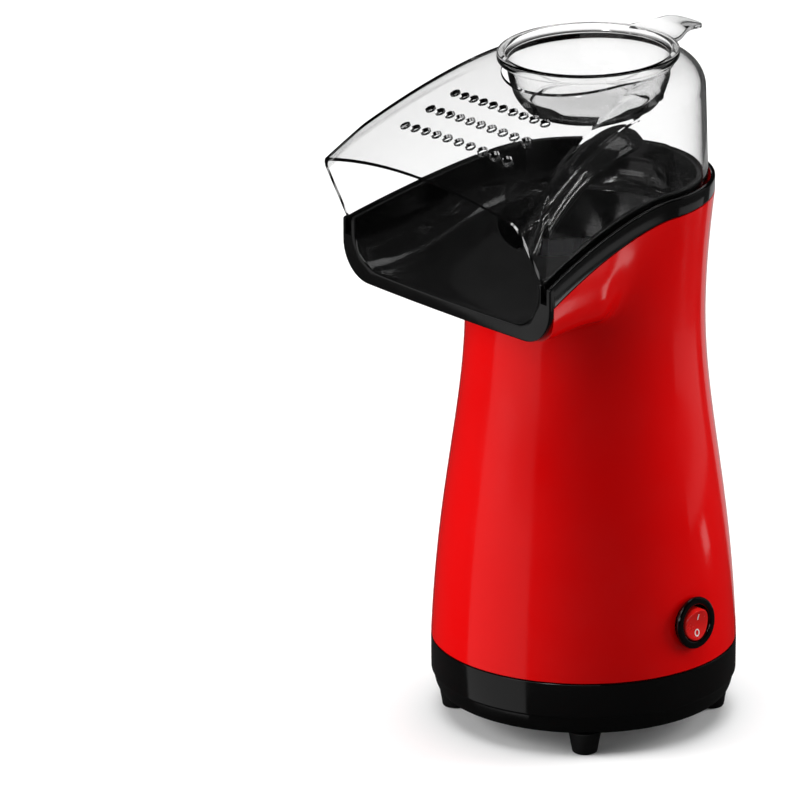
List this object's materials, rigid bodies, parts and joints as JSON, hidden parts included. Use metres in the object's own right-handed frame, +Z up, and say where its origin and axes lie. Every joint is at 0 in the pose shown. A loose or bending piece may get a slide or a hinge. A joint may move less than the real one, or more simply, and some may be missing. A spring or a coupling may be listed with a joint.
{
  "type": "popcorn maker",
  "caption": "Hot-air popcorn maker: waisted round body on feet, U-shaped spout, clear lift-off hood with vents, clear measuring cup, rocker switch, fan and heater inside.",
  "frame": {"origin": "on the surface it stands on, under the middle of its bounding box", "axes": "+Z up, -Y towards the spout's mouth, +X towards the switch"},
  "size_m": [0.1384, 0.1685, 0.3035],
  "materials": {
    "red_gloss": "glossy moulded red plastic",
    "black_gloss": "satin to glossy black plastic",
    "black_rubber": "matt black rubber",
    "clear_plastic": "clear colourless plastic",
    "rocker_red": "glossy red plastic",
    "black_moulding": "matt black moulding",
    "bright_metal": "plain aluminium and bright metal",
    "plated_steel": "zinc plated steel",
    "brass_blade": "bare brass",
    "mica": "mica sheet",
    "ceramic": "unglazed ceramic",
    "circuit_board": "circuit board laminate",
    "lead_sleeve": "glass fibre sleeved lead"
  },
  "bodies": {
    "housing": {"base_cover": "black_gloss", "foot_1": "black_rubber", "foot_2": "black_rubber", "foot_3": "black_rubber", "foot_4": "black_rubber", "base_screw_1": "plated_steel", "base_screw_2": "plated_steel", "base_screw_3": "plated_steel", "base_screw_4": "plated_steel", "cord_gland": "black_rubber", "body_shell": "red_gloss", "chute": "black_gloss", "kernel_guard": "black_gloss", "guard_screw": "plated_steel", "switch_housing": "black_gloss", "switch_pivot": "plated_steel", "switch_terminal_1": "brass_blade", "switch_terminal_2": "brass_blade", "fan_housing": "black_moulding", "fan_screw_1": "plated_steel", "fan_screw_2": "plated_steel", "fan_screw_3": "plated_steel", "motor_screw_1": "plated_steel", "motor_screw_2": "plated_steel", "motor_body": "plated_steel", "rectifier_board": "circuit_board", "diode_1": "black_moulding", "diode_2": "black_moulding", "diode_3": "black_moulding", "diode_4": "black_moulding", "heater_former": "mica", "heater_coil": "bright_metal", "mica_sleeve": "mica", "thermostat": "bright_metal", "thermal_fuse": "ceramic", "heat_shield": "bright_metal", "popping_chamber": "bright_metal", "chute_screw_1": "plated_steel", "chute_screw_2": "plated_steel", "chute_screw_3": "plated_steel", "terminal_block": "ceramic", "lead_live": "lead_sleeve", "lead_neutral": "lead_sleeve", "lead_switched": "lead_sleeve"},
    "cover": {"clear_cover": "clear_plastic"},
    "cup": {"measuring_cup": "clear_plastic"},
    "rocker": {"switch_rocker": "rocker_red"},
    "rotor": {"motor_shaft": "bright_metal", "impeller": "black_moulding"}
  },
  "joints": [
    {"name": "cover_lift", "type": "slide", "parent": "housing", "child": "cover", "axis": [0, 0, 1], "range_m": [0, 0.08]},
    {"name": "cup_lift", "type": "slide", "parent": "cover", "child": "cup", "axis": [0, 0, 1], "range_m": [0, 0.06]},
    {"name": "rocker_tilt", "type": "hinge", "parent": "housing", "child": "rocker", "pos_m": [0.06277, 0.01941, 0.05608], "axis": [0.075, -0.9972, 0], "range_deg": [0, 18]},
    {"name": "fan_spin", "type": "hinge", "parent": "housing", "child": "rotor", "pos_m": [-0.0012, 0.0146, 0.079], "axis": [0, 0, 1], "continuous": true}
  ]
}
